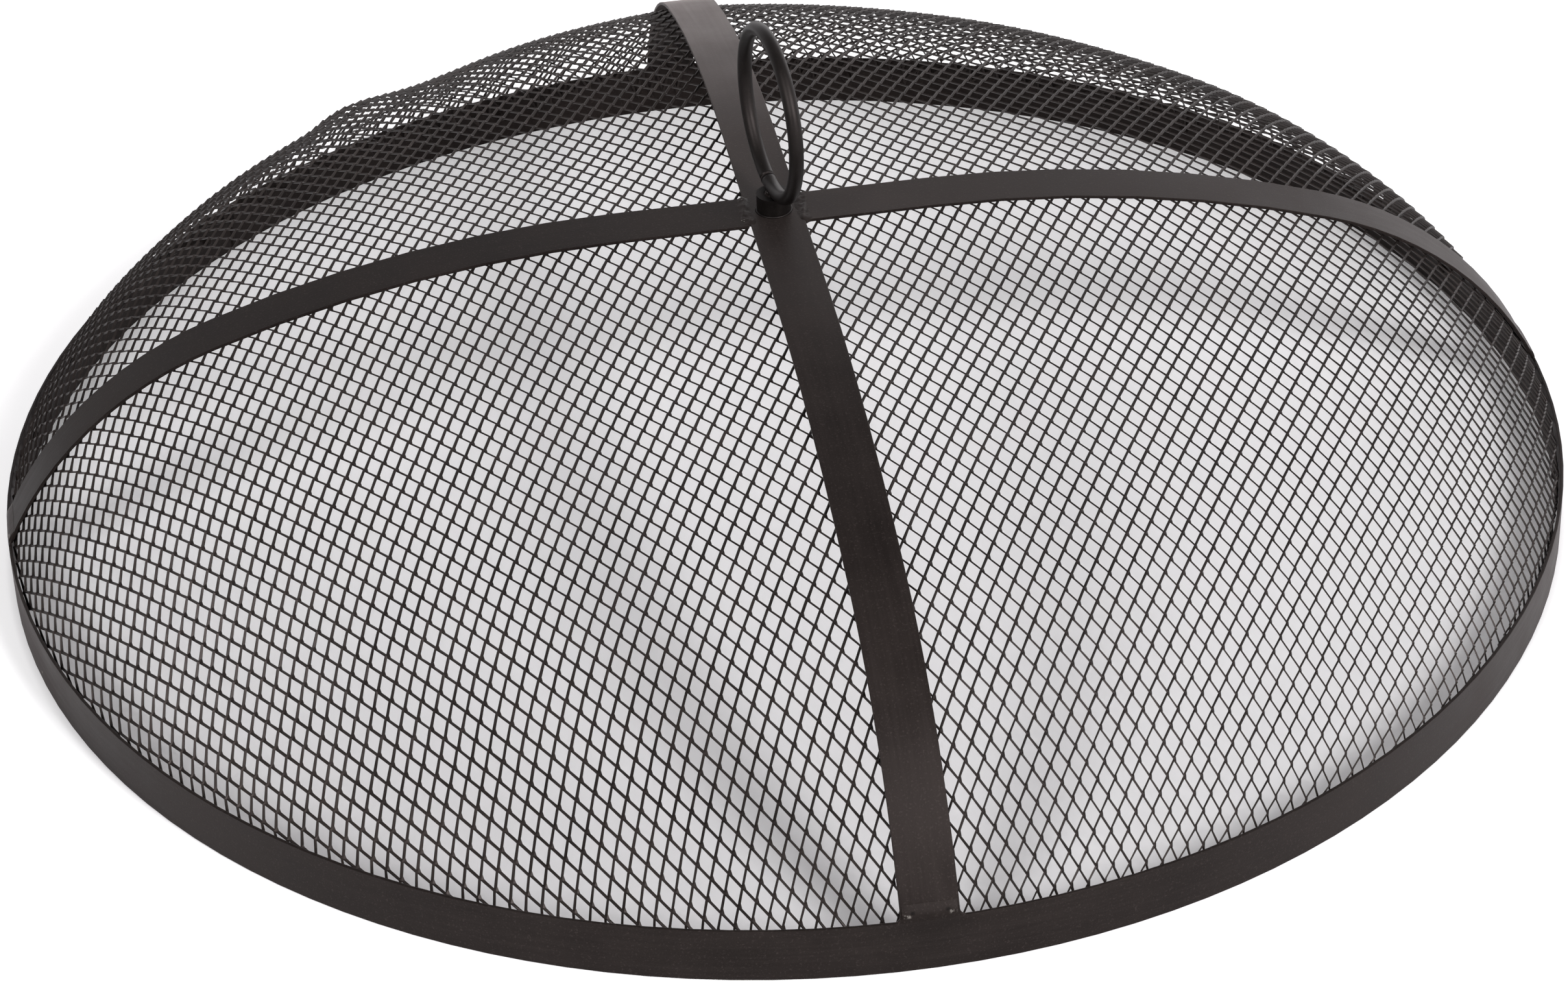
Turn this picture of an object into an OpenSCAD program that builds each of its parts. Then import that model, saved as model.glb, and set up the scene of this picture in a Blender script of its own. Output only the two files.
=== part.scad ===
// Domed spark screen for a round fire pit: a flat-bar hoop, a dome of expanded mesh, two flat straps
// that cross over it and an upright lifting ring on a short collar. All joints are welded.
// Origin at the middle of the hoop, on the face it stands on. +Z up, long strap along Y.

/* [Hoop] */
// Outside diameter of the hoop
hoop_d = 762; // [560:2:1000]
// Height of the hoop's flat bar
hoop_h = 27; // [20:0.5:45]
// Thickness of the hoop's flat bar
hoop_t = 1.6; // [1.2:0.1:4]
// Gap between the two ends of the hoop's bar, filled by the seam weld
hoop_gap = 2; // [1:0.1:4]
// Direction of the hoop's seam, anticlockwise from +X seen from above
hoop_seam_turn = 132; // [105:1:165]

/* [Dome] */
// Rise of the straps' outer face from the hoop's top edge to the crown
dome_rise = 130; // [100:1:180]
// Flat length of each strap on each side of the crown
crown_flat = 75; // [45:1:100]
// Slope at which the wide bend meets the shoulder bend
shoulder_slope = 19; // [14:0.5:24]
// Slope of the straps where they stand on the hoop
foot_slope = 64.5; // [56:0.5:74]

/* [Straps] */
// Width of the straps' flat bar
strap_w = 26; // [20:0.5:40]
// Thickness of the straps' flat bar
strap_t = 1.6; // [1.2:0.1:3]
// Gap between the long strap's edge and each half of the cross strap, filled by weld
crown_gap = 1; // [0.6:0.1:3]
// Inset of the straps' feet from the hoop's outer face, made up flush by weld
foot_inset = 0.5; // [0.3:0.1:0.8]

/* [Mesh] */
// Thickness of the mesh sheet
mesh_t = 1.4; // [1:0.1:2.5]
// Width of one strand
strand_w = 3; // [2:0.1:6]
// Spacing of parallel strands, a whole multiple of the real 7.5 spacing to keep the gaps countable
strand_pitch = 45; // [30:0.5:60]
// Direction of the first set of strands, anticlockwise from +X seen from above
strand_turn_a = 60.3; // [50:0.1:70]
// Direction of the second set of strands
strand_turn_b = 125; // [115:0.5:135]
// Clearance between the mesh and the straps above it
mesh_gap = 0.3; // [0.2:0.1:0.6]
// Depth of the mesh's turned-down hem behind the hoop
hem_h = 11; // [6:0.5:16]
// Clearance between the hem and the hoop's inner face
hem_gap = 0.3; // [0.2:0.1:0.6]

/* [Lifting ring] */
// Outside diameter of the ring
ring_d = 88; // [60:1:130]
// Diameter of the ring's round rod
ring_rod_d = 7; // [5:0.5:12]
// Turn of the ring's plane from the long strap, anticlockwise seen from above
ring_turn = 8; // [0:1:20]
// Place of the joint between the ring's rod ends, measured round the ring from its lowest point
ring_seam_turn = 11; // [11:1:60]
// Gap between the ring's rod ends, filled by its weld
ring_gap = 0.8; // [0.4:0.1:2]

/* [Collar] */
// Outside diameter of the collar
collar_d = 16.5; // [12:0.5:18]
// Bore of the collar
collar_bore_d = 9; // [6:0.5:11]
// Height of the collar
collar_h = 9; // [5:0.5:16]
// Depth of the ring's lowest point below the collar's top
ring_seat = 0.6; // [0.5:0.1:2.4]

/* [Welds] */
// Leg of the weld beads at the straps' feet
bead_leg = 2.2; // [1.4:0.1:4]
// Leg of the thin fillet round the collar's foot
collar_bead = 0.8; // [0.4:0.1:1.6]
// Height of the beads that stand proud of a flush joint
bead_crown = 0.5; // [0.3:0.1:1.2]
// Width of the low beads over the joints beside the long strap
crown_bead_w = 7; // [3:0.5:8]
// Tack welds between the mesh's hem and the hoop
tack_count = 12; // [6:1:24]
// Diameter of a tack weld
tack_d = 5; // [3:0.5:8]

/* [Hidden] */

// Rounded solids are true circles; these counts only set how smooth the preview is.
$fn = 128;
fine_fn = 360;
// How far a cutting solid runs past what it cuts
over = 1;
steel = "#3a3534";
steel_dark = "#262322";
weld_metal = "#4a4442";

hoop_r = hoop_d / 2;
hoop_inner_r = hoop_r - hoop_t;
crown_z = hoop_h + dome_rise;

// The straps' outer face is a flat, a wide bend up to shoulder_slope and a tight bend up to
// foot_slope. Both radii follow from the span and the rise that the two bends have to fill.
foot_r = hoop_r - foot_inset;
bend_span = foot_r - crown_flat;
sin_a = sin(shoulder_slope);
cos_a = cos(shoulder_slope);
sin_f = sin(foot_slope);
cos_f = cos(foot_slope);
bend_det = sin_a * (cos_a - cos_f) - (sin_f - sin_a) * (1 - cos_a);
wide_r = (bend_span * (cos_a - cos_f) - dome_rise * (sin_f - sin_a)) / bend_det;
shoulder_r = (dome_rise * sin_a - bend_span * (1 - cos_a)) / bend_det;

// Slopes at which an outline along the dome has a point; both counts are even, so that the mesh,
// which takes every second one, has its corners below corners of the straps.
wide_steps = 6;
shoulder_steps = 12;
slopes = concat(
    [for (i = [0:wide_steps]) shoulder_slope * i / wide_steps],
    [for (i = [1:shoulder_steps])
        shoulder_slope + (foot_slope - shoulder_slope) * i / shoulder_steps]
);

// Point of the dome where its slope is s, at a depth below the straps' outer face
function dome_point(s, depth) =
    s <= shoulder_slope
        ? [crown_flat + wide_r * sin(s) - depth * sin(s),
           crown_z - wide_r * (1 - cos(s)) - depth * cos(s)]
        : [crown_flat + wide_r * sin_a + shoulder_r * (sin(s) - sin_a) - depth * sin(s),
           crown_z - wide_r * (1 - cos_a) - shoulder_r * (cos_a - cos(s)) - depth * cos(s)];

function dome_line(depth, step = 1) =
    [for (i = [0:step:len(slopes) - 1]) dome_point(slopes[i], depth)];
function reversed(list) = [for (i = [len(list) - 1:-1:0]) list[i]];
function mirrored(list) = [for (p = list) [-p[0], p[1]]];

// The last length of a strap runs straight down past the hoop's top edge and is cut off level there.
foot_run = 4 * strap_t;
function foot_end(depth) =
    dome_point(foot_slope, depth) + foot_run * [cos_f, -sin_f];

module above_hoop() {
    translate([-hoop_r - foot_run, hoop_h])
        square([hoop_d + 2 * foot_run, dome_rise + strap_t]);
}

// Side outline of a whole strap, from foot to foot over the crown
module long_outline() {
    outer = concat(dome_line(0), [foot_end(0)]);
    inner = concat(dome_line(strap_t), [foot_end(strap_t)]);
    intersection() {
        polygon(concat(reversed(mirrored(outer)), outer, reversed(inner), mirrored(inner)));
        above_hoop();
    }
}

// Side outline of half a strap, which starts beside the long strap's edge
module half_outline() {
    butt_x = strap_w / 2 + crown_gap;
    intersection() {
        long_outline();
        translate([butt_x, 0])
            square([hoop_r, crown_z + strap_t]);
    }
}

// Stands a side outline up on the X axis, with the bar's width across it
module standing(width) {
    rotate([90, 0, 0])
        linear_extrude(height = width, center = true)
            children();
}

module hoop_ring() {
    difference() {
        cylinder(h = hoop_h, r = hoop_r, $fn = fine_fn);
        translate([0, 0, -over])
            cylinder(h = hoop_h + 2 * over, r = hoop_inner_r, $fn = fine_fn);
    }
}

module hoop_seam_slot() {
    rotate([0, 0, hoop_seam_turn])
        translate([hoop_inner_r - over, -hoop_gap / 2, -over])
            cube([hoop_t + 2 * over, hoop_gap, hoop_h + 2 * over]);
}

module rim_hoop() {
    color(steel)
        difference() {
            hoop_ring();
            hoop_seam_slot();
        }
}

// Fills the gap in the hoop and stands a little proud on the inside, where it isn't ground flush,
// up to the lower edge of the mesh
module hoop_seam_weld() {
    proud_h = hem_z - 2 * hoop_gap;
    color(weld_metal)
        union() {
            intersection() {
                hoop_ring();
                hoop_seam_slot();
            }
            rotate([0, 0, hoop_seam_turn])
                translate([hoop_inner_r - bead_crown, -hoop_gap / 2, hoop_gap / 2])
                    cube([bead_crown + hoop_t / 2, hoop_gap, proud_h]);
        }
}

module long_strap() {
    color(steel)
        rotate([0, 0, 90])
            standing(strap_w) long_outline();
}

module cross_strap_right() {
    color(steel)
        standing(strap_w) half_outline();
}

module cross_strap_left() {
    color(steel)
        rotate([0, 0, 180])
            standing(strap_w) half_outline();
}

// Weld across a strap's foot: it makes the joint up flush with the hoop and rounds over at both ends
module foot_bead(angle) {
    bead_w = strap_w + 2 * bead_leg + 2 * over;
    rotate([0, 0, angle])
        difference() {
            intersection() {
                translate([hoop_r - hoop_t / 2, 0, hoop_h])
                    union() {
                        rotate([90, 0, 0])
                            cylinder(h = strap_w, r = bead_leg, center = true);
                        for (side = [-1, 1])
                            translate([0, side * strap_w / 2, 0])
                                sphere(r = bead_leg);
                    }
                translate([hoop_inner_r, -bead_w / 2, hoop_h])
                    cube([hoop_t - foot_inset / 2, bead_w, bead_leg + over]);
            }
            standing(strap_w) long_outline();
        }
}

module strap_weld_front() {
    color(weld_metal) foot_bead(-90);
}

module strap_weld_back() {
    color(weld_metal) foot_bead(90);
}

module strap_weld_left() {
    color(weld_metal) foot_bead(180);
}

module strap_weld_right() {
    color(weld_metal) foot_bead(0);
}

// Weld that fills the gap beside the long strap, with a low crown over it
module crown_bead(side) {
    mid_x = side * (strap_w + crown_gap) / 2;
    ridge_half = crown_bead_w / 2;
    ridge_r = (ridge_half ^ 2 + bead_crown ^ 2) / (2 * bead_crown);
    color(weld_metal)
        translate([mid_x, 0, crown_z])
            union() {
                translate([-crown_gap / 2, -strap_w / 2, -strap_t])
                    cube([crown_gap, strap_w, strap_t]);
                intersection() {
                    translate([0, 0, bead_crown - ridge_r])
                        rotate([90, 0, 0])
                            cylinder(h = strap_w, r = ridge_r, center = true, $fn = fine_fn);
                    translate([-ridge_half - over, -strap_w, 0])
                        cube([2 * (ridge_half + over), strap_w * 2, bead_crown + over]);
                }
            }
}

module crown_weld_left() {
    crown_bead(-1);
}

module crown_weld_right() {
    crown_bead(1);
}

mesh_depth = strap_t + mesh_gap;
hem_outer_r = hoop_inner_r - hem_gap;
hem_z = hoop_h - hem_h;

// The lowest stretch of the mesh's edge, turned down straight behind the hoop
module hem_outline() {
    translate([hem_outer_r - mesh_t, hem_z])
        square([mesh_t, tack_d]);
}

// Point at radius x on the straight last length of the dome's side
function on_foot_line(x, depth) =
    [x, dome_point(foot_slope, depth)[1]
        + (dome_point(foot_slope, depth)[0] - x) * tan(foot_slope)];
function without_last(list) = [for (i = [0:len(list) - 2]) list[i]];

// Half section of the formed sheet: the dome below the straps, running into the hem
module sheet_outline() {
    hem_inner_r = hem_outer_r - mesh_t;
    outer = without_last(dome_line(mesh_depth, 2));
    inner = without_last(dome_line(mesh_depth + mesh_t, 2));
    polygon(concat(
        [[0, crown_z - mesh_depth]], outer,
        [on_foot_line(hem_outer_r, mesh_depth), [hem_outer_r, hem_z],
         [hem_inner_r, hem_z], on_foot_line(hem_inner_r, mesh_depth + mesh_t)],
        reversed(inner), [[0, crown_z - mesh_depth - mesh_t]]
    ));
}

// Plan of the two sets of straight strands
module strand_plan() {
    count = ceil(hoop_r / strand_pitch);
    for (turn = [strand_turn_a, strand_turn_b])
        rotate([0, 0, turn])
            for (i = [-count:count])
                translate([-hoop_r, (i + 0.5) * strand_pitch - strand_w / 2])
                    square([hoop_d, strand_w]);
}

module mesh_dome() {
    color(steel_dark)
        union() {
            intersection() {
                rotate_extrude() sheet_outline();
                translate([0, 0, hoop_h])
                    linear_extrude(height = dome_rise) strand_plan();
            }
            rotate_extrude() intersection() {
                sheet_outline();
                square([hoop_d, hoop_h]);
            }
        }
}

// Lumps of weld that bridge the hem's lower edge to the hoop, centred a little below that edge
tack_drop = tack_d / 6;
module mesh_tack_welds() {
    color(weld_metal)
        difference() {
            for (i = [0:tack_count - 1])
                rotate([0, 0, (i + 0.5) * 360 / tack_count])
                    translate([hem_outer_r - mesh_t / 2, 0, hem_z - tack_drop])
                        sphere(d = tack_d);
            hoop_ring();
            rotate_extrude() hem_outline();
        }
}

// Circle of the ring's centre line, standing with its lowest point in the collar's notch
ring_line_r = (ring_d - ring_rod_d) / 2;
collar_top_z = crown_z + collar_h;
ring_mid_z = collar_top_z - ring_seat + ring_d / 2;

// Places children in the ring's own plane: X along the long strap's direction, Y up
module ring_plane() {
    translate([0, 0, ring_mid_z])
        rotate([0, 0, 90 + ring_turn])
            rotate([90, 0, 0])
                children();
}

module ring_torus(rod_d) {
    rotate_extrude()
        translate([ring_line_r, 0])
            circle(d = rod_d);
}

// The gap between the rod ends, on the ring's rear branch just above the collar
module ring_seam(width, rod_d) {
    rotate([0, 0, -90 + ring_seam_turn])
        translate([ring_line_r, 0, 0])
            rotate([90, 0, 0])
                cylinder(h = width, d = rod_d, center = true);
}

module lifting_ring() {
    color(steel_dark)
        ring_plane()
            difference() {
                ring_torus(ring_rod_d);
                ring_seam(ring_gap, ring_rod_d * 2);
            }
}

module ring_seam_weld() {
    color(weld_metal)
        ring_plane() ring_seam(ring_gap, ring_rod_d + bead_crown / 2);
}

module ring_collar() {
    color(steel_dark)
        difference() {
            translate([0, 0, crown_z])
                cylinder(h = collar_h, d = collar_d);
            translate([0, 0, crown_z - over])
                cylinder(h = collar_h + 2 * over, d = collar_bore_d);
            ring_plane() ring_torus(ring_rod_d);
        }
}

// Fillet round the collar's foot
module collar_weld() {
    collar_r = collar_d / 2;
    color(weld_metal)
        translate([0, 0, crown_z])
            rotate_extrude()
                polygon([[collar_r, 0], [collar_r + collar_bead, 0], [collar_r, collar_bead]]);
}

// Pool of weld metal in the collar's mouth, under the ring
module ring_seat_weld() {
    pool_h = collar_h / 2;
    color(weld_metal)
        difference() {
            translate([0, 0, collar_top_z - pool_h])
                cylinder(h = pool_h, d = collar_bore_d);
            ring_plane() ring_torus(ring_rod_d);
        }
}

rim_hoop();
hoop_seam_weld();
mesh_dome();
mesh_tack_welds();
long_strap();
cross_strap_left();
cross_strap_right();
strap_weld_front();
strap_weld_back();
strap_weld_left();
strap_weld_right();
crown_weld_left();
crown_weld_right();
ring_collar();
collar_weld();
lifting_ring();
ring_seam_weld();
ring_seat_weld();
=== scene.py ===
"""Domed spark screen for a fire pit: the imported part, dressed with its fine expanded mesh, weld metal,
painted steel, a pale floor and soft light. Lengths are metres unless a name ends in _MM or _PX, for
pixels of the photograph. Angles are radians."""
import math

import bmesh
import bpy
import numpy as np
from mathutils import Matrix, Vector, noise


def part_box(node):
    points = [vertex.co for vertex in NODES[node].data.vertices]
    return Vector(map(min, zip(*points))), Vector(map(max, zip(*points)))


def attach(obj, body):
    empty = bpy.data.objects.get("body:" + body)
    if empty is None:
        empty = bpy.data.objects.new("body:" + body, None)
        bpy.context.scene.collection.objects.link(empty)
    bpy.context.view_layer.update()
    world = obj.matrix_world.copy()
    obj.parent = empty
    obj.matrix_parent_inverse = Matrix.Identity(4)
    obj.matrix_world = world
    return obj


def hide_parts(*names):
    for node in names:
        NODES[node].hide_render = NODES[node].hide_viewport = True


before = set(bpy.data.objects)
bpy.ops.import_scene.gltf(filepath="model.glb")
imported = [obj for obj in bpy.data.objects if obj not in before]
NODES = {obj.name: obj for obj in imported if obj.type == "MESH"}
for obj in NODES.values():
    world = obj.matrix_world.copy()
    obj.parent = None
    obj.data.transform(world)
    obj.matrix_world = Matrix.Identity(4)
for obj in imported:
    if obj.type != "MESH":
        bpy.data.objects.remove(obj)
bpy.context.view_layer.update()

MM = 0.001

# --------------------------------------------------------------------------- sizes, as in part.scad
HOOP_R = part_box("rim_hoop")[1].x
HOOP_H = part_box("rim_hoop")[1].z
HOOP_T = 1.6 * MM
CROWN_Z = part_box("cross_strap_left")[1].z
STRAP_T = 1.6 * MM
STRAP_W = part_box("long_strap")[1].x * 2
CROWN_FLAT = 75 * MM
FOOT_INSET = 0.5 * MM
SHOULDER_SLOPE = math.radians(19)
FOOT_SLOPE = math.radians(64.5)
MESH_GAP = 0.3 * MM
HEM_BOTTOM_Z = 17.5 * MM
HEM_GAP = 0.4 * MM
CROWN_GAP = 1.0 * MM

# Radii of the straps' wide bend and shoulder bend, from the span and the rise they have to fill
SPAN = HOOP_R - FOOT_INSET - CROWN_FLAT
RISE = CROWN_Z - HOOP_H
SIN_A, COS_A = math.sin(SHOULDER_SLOPE), math.cos(SHOULDER_SLOPE)
SIN_F, COS_F = math.sin(FOOT_SLOPE), math.cos(FOOT_SLOPE)
BEND_DET = SIN_A * (COS_A - COS_F) - (SIN_F - SIN_A) * (1 - COS_A)
WIDE_R = (SPAN * (COS_A - COS_F) - RISE * (SIN_F - SIN_A)) / BEND_DET
SHOULDER_R = (RISE * SIN_A - SPAN * (1 - COS_A)) / BEND_DET


def new_object(name, mesh, material):
    """A mesh object in the scene that rides on the part's one body."""
    obj = bpy.data.objects.new(name, mesh)
    bpy.context.scene.collection.objects.link(obj)
    mesh.materials.append(material)
    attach(obj, "root")
    return obj


# --------------------------------------------------------------------------- materials
class Shader:
    """A node material that is built step by step. Its place is the piece's own coordinates."""

    # Numbers of a colour mix node's sockets, because others of its sockets have the same names
    MIX_A, MIX_B, MIX_RESULT = 6, 7, 2

    def __init__(self, name):
        self.material = bpy.data.materials.new(name)
        self.material.use_nodes = True
        self.tree = self.material.node_tree
        self.bsdf = self.tree.nodes["Principled BSDF"]
        self.place = self.add("ShaderNodeTexCoord").outputs["Object"]

    def add(self, kind, **settings):
        node = self.tree.nodes.new(kind)
        for key, value in settings.items():
            setattr(node, key, value)
        return node

    def link(self, source, target):
        self.tree.links.new(source, target)

    def stretched(self, scale):
        """The place, scaled along each axis."""
        node = self.add("ShaderNodeMapping")
        self.link(self.place, node.inputs["Vector"])
        node.inputs["Scale"].default_value = scale
        return node.outputs["Vector"]

    def noise(self, scale, detail, roughness=0.6, place=None):
        node = self.add("ShaderNodeTexNoise")
        self.link(place or self.place, node.inputs["Vector"])
        node.inputs["Scale"].default_value = scale
        node.inputs["Detail"].default_value = detail
        node.inputs["Roughness"].default_value = roughness
        return node.outputs["Fac"]

    def spots(self, scale):
        """Distance to the nearest of many scattered points."""
        node = self.add("ShaderNodeTexVoronoi")
        self.link(self.place, node.inputs["Vector"])
        node.inputs["Scale"].default_value = scale
        return node.outputs["Distance"]

    def ramp(self, factor, low, high, out_low=0.0, out_high=1.0):
        """The factor's stretch from low to high, mapped to out_low to out_high and clamped."""
        node = self.add("ShaderNodeMapRange")
        self.link(factor, node.inputs["Value"])
        node.inputs["From Min"].default_value = low
        node.inputs["From Max"].default_value = high
        node.inputs["To Min"].default_value = out_low
        node.inputs["To Max"].default_value = out_high
        return node.outputs["Result"]

    def math(self, operation, a, b):
        node = self.add("ShaderNodeMath", operation=operation)
        for socket, value in zip(node.inputs, (a, b)):
            if isinstance(value, (int, float)):
                socket.default_value = value
            else:
                self.link(value, socket)
        return node.outputs["Value"]

    def times(self, a, b):
        return self.math("MULTIPLY", a, b)

    def axes(self, vector):
        """The X, Y and Z outputs of a vector."""
        node = self.add("ShaderNodeSeparateXYZ")
        self.link(vector, node.inputs["Vector"])
        return node.outputs

    def band(self, factor, low, high, blur):
        """1 where the factor lies between low and high, 0 elsewhere."""
        return self.times(self.ramp(factor, low - blur, low + blur),
                          self.ramp(factor, high + blur, high - blur))

    def mix(self, factor, a, b):
        """Colour a where factor is 0 and colour b where it is 1."""
        node = self.add("ShaderNodeMix", data_type="RGBA")
        self.link(factor, node.inputs["Factor"])
        for place, value in ((self.MIX_A, a), (self.MIX_B, b)):
            if isinstance(value, tuple):
                node.inputs[place].default_value = (*value, 1)
            else:
                self.link(value, node.inputs[place])
        return node.outputs[self.MIX_RESULT]

    def facing_up(self):
        """How far the surface faces upwards: 0 on walls and below, 1 on level tops."""
        node = self.add("ShaderNodeNewGeometry")
        return self.ramp(self.axes(node.outputs["Normal"])["Z"], 0.0, 1.0)

    def sheen(self, weight):
        """A thin veil of dust that shows most where the surface is seen along its face."""
        self.bsdf.inputs["Sheen Weight"].default_value = weight
        self.bsdf.inputs["Sheen Roughness"].default_value = 0.4
        self.bsdf.inputs["Sheen Tint"].default_value = SHEEN_TINT

    def bump(self, height, strength, distance):
        node = self.add("ShaderNodeBump")
        self.link(height, node.inputs["Height"])
        node.inputs["Strength"].default_value = strength
        node.inputs["Distance"].default_value = distance
        self.link(node.outputs["Normal"], self.bsdf.inputs["Normal"])

    def finish(self, color, roughness, specular):
        self.link(color, self.bsdf.inputs["Base Color"])
        self.link(roughness, self.bsdf.inputs["Roughness"])
        self.bsdf.inputs["Specular IOR Level"].default_value = specular
        self.bsdf.inputs["Specular Tint"].default_value = SPECULAR_TINT
        return self.material


PAINT_DARK = (0.0074, 0.0056, 0.0050)
PAINT_LIGHT = (0.0120, 0.0092, 0.0083)
# The strands' colours are the bar paint made lighter: painted light on strands that stand in the light
# in front of the shaded bars.
STRAND_DARK = (0.0105, 0.0082, 0.0074)
STRAND_LIGHT = (0.0215, 0.0170, 0.0155)
DUST = (0.110, 0.088, 0.083)
BARE = (0.42, 0.39, 0.36)
RING_DARK = (0.0022, 0.0019, 0.0017)
RING_LIGHT = (0.0046, 0.0040, 0.0037)
SHEEN_TINT = (0.92, 0.76, 0.74, 1)
SPECULAR_TINT = (1.0, 0.86, 0.84, 1)
# The covered floor's colour is painted shade: greyer at the front, near white at the back.
FLOOR_FRONT_PAINTED_SHADE = (0.82, 0.806, 0.818)
FLOOR_BACK = (0.965, 0.95, 0.963)
FLOOR_OPEN = (0.95, 0.94, 0.95)
FLOOR_FAR_LEFT = (0.30, 0.29, 0.29)
FLOOR_GLOW_OPEN = 0.32
# Glow that only the camera sees: on the open floor, and as painted light on the covered floor's back
FLOOR_GLOW_BACK = 0.13
# Places between which the floor's painted shade and light change: covered floor from front to back,
# its glow the same way, open floor from the hoop outwards, and what reflections see to the left
FLOOR_SHADE_Y = (-0.38, 0.38)
FLOOR_GLOW_Y = (-0.25, 0.30)
FLOOR_OPEN_R = (HOOP_R - 4 * MM, HOOP_R + 4 * MM)
FLOOR_FAR_LEFT_X = (-0.5, -1.0)
# Marks near the corners of a strap's foot: distance from the strap's middle line, and height
# The pit is painted shade: a spot of the ring's darkest paint where an undercut lies in shadow.
PIT_SHADE_ASIDE = (6.8 * MM, 8.6 * MM)
PIT_SHADE_HEIGHT = (30.0 * MM, 31.2 * MM)
BARE_ASIDE = (8.6 * MM, 11.4 * MM)
BARE_HEIGHT = (28.9 * MM, 30.1 * MM)


def foot_marks_and_pit_shade(s, color):
    """Adds near each corner of a strap's foot a dark pit of painted shade and, beside it, bare bright
    grains.
    """
    axes = s.axes(s.place)
    aside = s.math("MINIMUM", s.math("ABSOLUTE", axes["X"], 0), s.math("ABSOLUTE", axes["Y"], 0))
    # The pit's darkness is painted shade; the bare grains are wear.
    pit, bare = (
        s.times(s.band(aside, *across, blur=0.4 * MM), s.band(axes["Z"], *height, blur=0.3 * MM))
        for across, height in ((PIT_SHADE_ASIDE, PIT_SHADE_HEIGHT), (BARE_ASIDE, BARE_HEIGHT)))
    bare = s.times(bare, s.ramp(s.noise(scale=620, detail=3), 0.46, 0.62, out_high=0.45))
    return s.mix(bare, s.mix(pit, color, RING_DARK), BARE)


def bar_paint(name, grain_scale, specular, sheen, dust=(), marks=False):
    """Satin high-temperature paint on flat bar: finely speckled, faintly brushed, thinly dusted on top.
    Each dusting is an axis, two places along it and the share of dust at both; they add up. A dusting
    can also be painted light, as on the long strap."""
    s = Shader(name)
    clouds = s.ramp(s.noise(scale=26, detail=4), 0.36, 0.66)
    grain = s.noise(scale=1.0, detail=5, roughness=0.62, place=s.stretched(grain_scale))
    streaks = s.ramp(grain, 0.42, 0.70)
    speckle = s.noise(scale=1100, detail=2, roughness=0.5)
    color = s.mix(clouds, PAINT_DARK, PAINT_LIGHT)
    color = s.mix(s.times(streaks, 0.035), color, DUST)
    axes = s.axes(s.place)
    patches = s.ramp(s.noise(scale=11, detail=5), 0.36, 0.70, out_low=0.55, out_high=1.45)
    patches = s.times(s.facing_up(), patches)
    # Dust shares; on the long strap they are also painted light
    for axis, start, end, at_start, at_end in dust:
        share = s.ramp(axes[axis], start, end, at_start, at_end)
        color = s.mix(s.times(share, patches), color, DUST)
    grit = s.times(s.ramp(speckle, 0.58, 0.74), 0.15)
    color = s.mix(grit, color, DUST)
    chips = s.ramp(s.spots(scale=58), 0.052, 0.030)
    chips = s.times(chips, s.ramp(s.noise(scale=31, detail=2), 0.63, 0.70))
    color = s.mix(chips, color, BARE)
    # At a strap's foot: bare grains of wear and a pit of painted shade
    if marks:
        color = foot_marks_and_pit_shade(s, color)
    rough = s.math("ADD", s.ramp(clouds, 0, 1, 0.42, 0.50), s.ramp(grain, 0.3, 0.7, -0.03, 0.04))
    relief = s.math("ADD", s.times(speckle, 0.8), s.times(grain, 0.2))
    s.bump(relief, strength=0.14, distance=0.22 * MM)
    s.sheen(sheen)
    return s.finish(color, rough, specular)


def mesh_paint():
    """The same paint on the strands, a little lighter as painted light, with worn light edges here
    and there.
    """
    s = Shader("mesh_paint")
    clouds = s.ramp(s.noise(scale=34, detail=3), 0.38, 0.64)
    worn = s.times(s.ramp(s.noise(scale=240, detail=3), 0.58, 0.76), 0.16)
    color = s.mix(clouds, STRAND_DARK, STRAND_LIGHT)
    color = s.mix(worn, color, DUST)
    return s.finish(color, s.ramp(clouds, 0, 1, 0.42, 0.50), specular=0.24)


def weld_paint(name, bare_from):
    """Painted weld metal: mottled, with bright grains where grinding broke the paint. They are fewer
    the higher bare_from is."""
    s = Shader(name)
    clouds = s.ramp(s.noise(scale=170, detail=4), 0.36, 0.64)
    places = s.ramp(s.noise(scale=150, detail=2), bare_from, bare_from + 0.10)
    grains = s.times(s.ramp(s.noise(scale=1000, detail=3), 0.62, 0.72), places)
    color = s.mix(clouds, PAINT_DARK, PAINT_LIGHT)
    color = s.mix(s.times(s.facing_up(), 0.03), color, DUST)
    color = s.mix(s.times(grains, 0.8), color, BARE)
    s.bump(s.noise(scale=1300, detail=3), strength=0.30, distance=0.25 * MM)
    s.sheen(weight=0.05)
    return s.finish(color, s.ramp(clouds, 0, 1, 0.44, 0.56), specular=0.10)


def ring_paint():
    """Near-black satin paint on the round rod and the collar, with a fine orange peel."""
    s = Shader("ring_paint")
    clouds = s.ramp(s.noise(scale=60, detail=4), 0.36, 0.66)
    fine = s.noise(scale=1700, detail=2)
    color = s.mix(clouds, RING_DARK, RING_LIGHT)
    color = s.mix(s.times(s.ramp(fine, 0.62, 0.76), 0.16), color, DUST)
    s.bump(fine, strength=0.10, distance=0.15 * MM)
    return s.finish(color, s.ramp(clouds, 0, 1, 0.44, 0.52), specular=0.27)


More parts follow.
